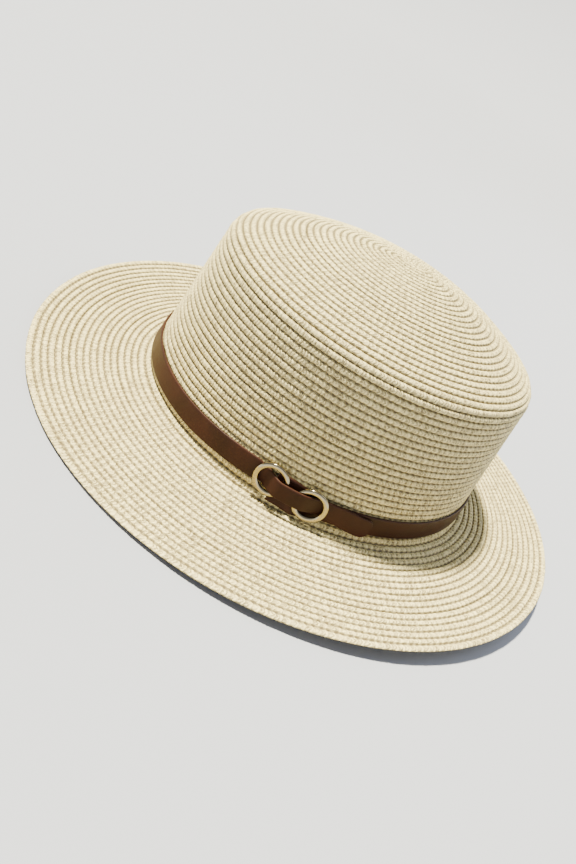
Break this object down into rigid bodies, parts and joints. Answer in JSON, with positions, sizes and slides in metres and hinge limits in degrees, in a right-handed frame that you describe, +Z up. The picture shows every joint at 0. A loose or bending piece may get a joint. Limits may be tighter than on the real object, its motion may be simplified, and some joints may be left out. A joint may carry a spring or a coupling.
{
  "type": "straw hat",
  "caption": "Wide-brimmed sewn-braid straw hat with a domed crown and a narrow leather hatband closed through plain metal rings.",
  "frame": {"origin": "on the surface the hat rests on, under the middle of the brim", "axes": "+Z up through the tip of the crown, +X along the longer way of the oval crown, -Y towards the side with the rings"},
  "size_m": [0.3146, 0.3006, 0.1152],
  "materials": {
    "straw": "matte",
    "leather": "satin",
    "gold_metal": "polished"
  },
  "bodies": {
    "root": {"crown": "straw", "brim": "straw", "hatband": "leather", "ring_left": "gold_metal", "ring_right": "gold_metal"}
  },
  "joints": []
}
